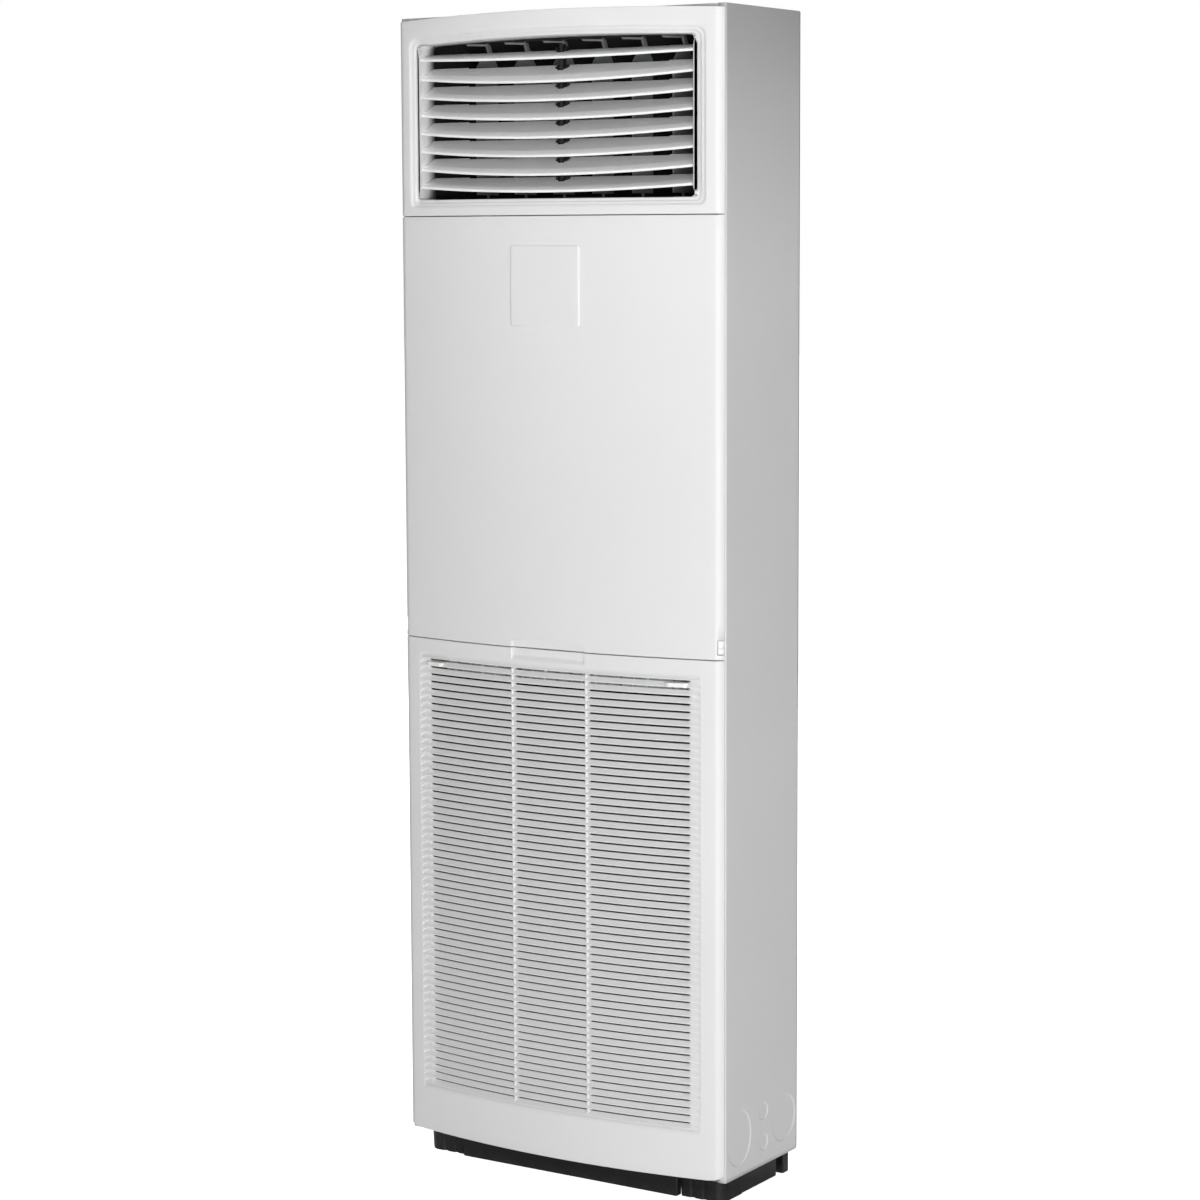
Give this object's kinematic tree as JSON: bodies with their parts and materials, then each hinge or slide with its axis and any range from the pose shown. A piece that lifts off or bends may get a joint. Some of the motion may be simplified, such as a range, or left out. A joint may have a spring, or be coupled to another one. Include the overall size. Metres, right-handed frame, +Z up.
{
  "type": "floor standing air conditioner",
  "caption": "Tall floor standing air conditioner cabinet with a bowed front: louvred air outlet on top, plain middle panel, slatted suction grille and low black base.",
  "frame": {"origin": "middle of the footprint of the bounding box, on the floor", "axes": "+X to the right seen from the front, +Y from the front to the back, +Z up"},
  "size_m": [0.6, 0.2726, 1.85],
  "materials": {
    "front_plastic": "satin",
    "painted_steel": "satin",
    "blade_plastic": "satin",
    "white_plastic": "gloss",
    "black_paint": "satin",
    "black_plastic": "matte",
    "galvanised_steel": "satin",
    "coil_aluminium": "satin",
    "copper": "satin",
    "black_foam": "matte",
    "grey_plastic": "matte"
  },
  "bodies": {
    "cabinet": {"base_frame": "black_paint", "bottom_plate": "galvanised_steel", "right_side_panel": "painted_steel", "left_side_panel": "painted_steel", "top_plate": "painted_steel", "rear_panel": "galvanised_steel", "outlet_bezel": "front_plastic", "middle_panel": "front_plastic", "square_cover_plate": "front_plastic", "panel_clip_right": "white_plastic", "panel_clip_left": "white_plastic", "grille_hinge_right": "black_plastic", "grille_hinge_left": "black_plastic", "louvre_motor": "grey_plastic", "vane_rail": "black_plastic", "vane_motor": "grey_plastic", "outlet_duct": "black_foam", "fan_scroll": "galvanised_steel", "inlet_ring": "galvanised_steel", "fan_motor": "black_paint", "motor_bracket": "galvanised_steel", "fan_deck": "galvanised_steel", "coil_fin_pack": "coil_aluminium", "coil_sheet_right": "copper", "coil_sheet_left": "copper", "suction_header": "copper", "gas_pipe": "copper", "liquid_pipe": "copper", "drain_pan": "black_foam", "coil_baffle": "galvanised_steel", "control_box": "galvanised_steel", "control_box_lid": "galvanised_steel", "terminal_block": "white_plastic"},
    "grille": {"suction_grille": "front_plastic"},
    "latch_right": {"grille_latch_right": "white_plastic"},
    "latch_left": {"grille_latch_left": "white_plastic"},
    "filter": {"air_filter": "black_plastic", "filter_mesh": "grey_plastic"},
    "fan": {"fan_wheel": "grey_plastic", "motor_shaft": "galvanised_steel"},
    "link": {"louvre_link": "black_plastic"},
    "vane_bar": {"vane_link": "black_plastic"},
    "louvre_1": {"louvre_blade_1": "blade_plastic"},
    "louvre_2": {"louvre_blade_2": "blade_plastic"},
    "louvre_3": {"louvre_blade_3": "blade_plastic"},
    "louvre_4": {"louvre_blade_4": "blade_plastic"},
    "louvre_5": {"louvre_blade_5": "blade_plastic"},
    "louvre_6": {"louvre_blade_6": "blade_plastic"},
    "louvre_7": {"louvre_blade_7": "blade_plastic"},
    "louvre_8": {"louvre_blade_8": "blade_plastic"},
    "vane_1": {"vane_1": "grey_plastic"},
    "vane_2": {"vane_2": "grey_plastic"},
    "vane_3": {"vane_3": "grey_plastic"},
    "vane_4": {"vane_4": "grey_plastic"},
    "vane_5": {"vane_5": "grey_plastic"},
    "vane_6": {"vane_6": "grey_plastic"}
  },
  "joints": [
    {"name": "grille_tilt", "type": "hinge", "parent": "cabinet", "child": "grille", "pos_m": [0, -0.11975, 0.051], "axis": [1, 0, 0], "range_deg": [0, 30]},
    {"name": "latch_right_slide", "type": "slide", "parent": "grille", "child": "latch_right", "axis": [1, 0, 0], "range_m": [0, 0.008]},
    {"name": "latch_left_slide", "type": "slide", "parent": "grille", "child": "latch_left", "axis": [-1, 0, 0], "range_m": [0, 0.008]},
    {"name": "filter_lift", "type": "slide", "parent": "grille", "child": "filter", "axis": [0, 0, 1], "range_m": [0, 0.02]},
    {"name": "fan_spin", "type": "hinge", "parent": "cabinet", "child": "fan", "pos_m": [-0.02, 0, 0.4], "axis": [0, 1, 0], "continuous": true},
    {"name": "louvre_1_tilt", "type": "hinge", "parent": "cabinet", "child": "louvre_1", "pos_m": [0, -0.09275, 1.7851], "axis": [1, 0, 0], "range_deg": [-35, 8]},
    {"name": "louvre_2_tilt", "type": "hinge", "parent": "cabinet", "child": "louvre_2", "pos_m": [0, -0.09275, 1.7568], "axis": [1, 0, 0], "range_deg": [-35, 8]},
    {"name": "louvre_3_tilt", "type": "hinge", "parent": "cabinet", "child": "louvre_3", "pos_m": [0, -0.09275, 1.7285], "axis": [1, 0, 0], "range_deg": [-35, 8]},
    {"name": "louvre_4_tilt", "type": "hinge", "parent": "cabinet", "child": "louvre_4", "pos_m": [0, -0.09275, 1.7002], "axis": [1, 0, 0], "range_deg": [-35, 8]},
    {"name": "louvre_5_tilt", "type": "hinge", "parent": "cabinet", "child": "louvre_5", "pos_m": [0, -0.09275, 1.6719], "axis": [1, 0, 0], "range_deg": [-35, 8]},
    {"name": "louvre_6_tilt", "type": "hinge", "parent": "cabinet", "child": "louvre_6", "pos_m": [0, -0.09275, 1.6436], "axis": [1, 0, 0], "range_deg": [-35, 8]},
    {"name": "louvre_7_tilt", "type": "hinge", "parent": "cabinet", "child": "louvre_7", "pos_m": [0, -0.09275, 1.6153], "axis": [1, 0, 0], "range_deg": [-35, 8]},
    {"name": "louvre_8_tilt", "type": "hinge", "parent": "cabinet", "child": "louvre_8", "pos_m": [0, -0.09275, 1.587], "axis": [1, 0, 0], "range_deg": [-35, 8]},
    {"name": "link_swing", "type": "hinge", "parent": "louvre_4", "child": "link", "pos_m": [0, -0.07819, 1.70684], "axis": [1, 0, 0], "range_deg": [-8, 35]},
    {"name": "vane_1_swing", "type": "hinge", "parent": "cabinet", "child": "vane_1", "pos_m": [-0.1825, -0.02075, 1.566], "axis": [0, 0, 1], "range_deg": [-25, 25]},
    {"name": "vane_2_swing", "type": "hinge", "parent": "cabinet", "child": "vane_2", "pos_m": [-0.1095, -0.02075, 1.566], "axis": [0, 0, 1], "range_deg": [-25, 25]},
    {"name": "vane_3_swing", "type": "hinge", "parent": "cabinet", "child": "vane_3", "pos_m": [-0.0365, -0.02075, 1.566], "axis": [0, 0, 1], "range_deg": [-25, 25]},
    {"name": "vane_4_swing", "type": "hinge", "parent": "cabinet", "child": "vane_4", "pos_m": [0.0365, -0.02075, 1.566], "axis": [0, 0, 1], "range_deg": [-25, 25]},
    {"name": "vane_5_swing", "type": "hinge", "parent": "cabinet", "child": "vane_5", "pos_m": [0.1095, -0.02075, 1.566], "axis": [0, 0, 1], "range_deg": [-25, 25]},
    {"name": "vane_6_swing", "type": "hinge", "parent": "cabinet", "child": "vane_6", "pos_m": [0.1825, -0.02075, 1.566], "axis": [0, 0, 1], "range_deg": [-25, 25]},
    {"name": "vane_bar_swing", "type": "hinge", "parent": "vane_3", "child": "vane_bar", "pos_m": [-0.05913, -0.04338, 1.81], "axis": [0, 0, 1], "range_deg": [-25, 25]}
  ],
  "couplings": [
    {"joint": "louvre_1_tilt", "follows": "louvre_4_tilt", "ratio": 1},
    {"joint": "louvre_2_tilt", "follows": "louvre_4_tilt", "ratio": 1},
    {"joint": "louvre_3_tilt", "follows": "louvre_4_tilt", "ratio": 1},
    {"joint": "louvre_5_tilt", "follows": "louvre_4_tilt", "ratio": 1},
    {"joint": "louvre_6_tilt", "follows": "louvre_4_tilt", "ratio": 1},
    {"joint": "louvre_7_tilt", "follows": "louvre_4_tilt", "ratio": 1},
    {"joint": "louvre_8_tilt", "follows": "louvre_4_tilt", "ratio": 1},
    {"joint": "link_swing", "follows": "louvre_4_tilt", "ratio": -1},
    {"joint": "vane_1_swing", "follows": "vane_3_swing", "ratio": 1},
    {"joint": "vane_2_swing", "follows": "vane_3_swing", "ratio": 1},
    {"joint": "vane_4_swing", "follows": "vane_3_swing", "ratio": 1},
    {"joint": "vane_5_swing", "follows": "vane_3_swing", "ratio": 1},
    {"joint": "vane_6_swing", "follows": "vane_3_swing", "ratio": 1},
    {"joint": "vane_bar_swing", "follows": "vane_3_swing", "ratio": -1}
  ]
}
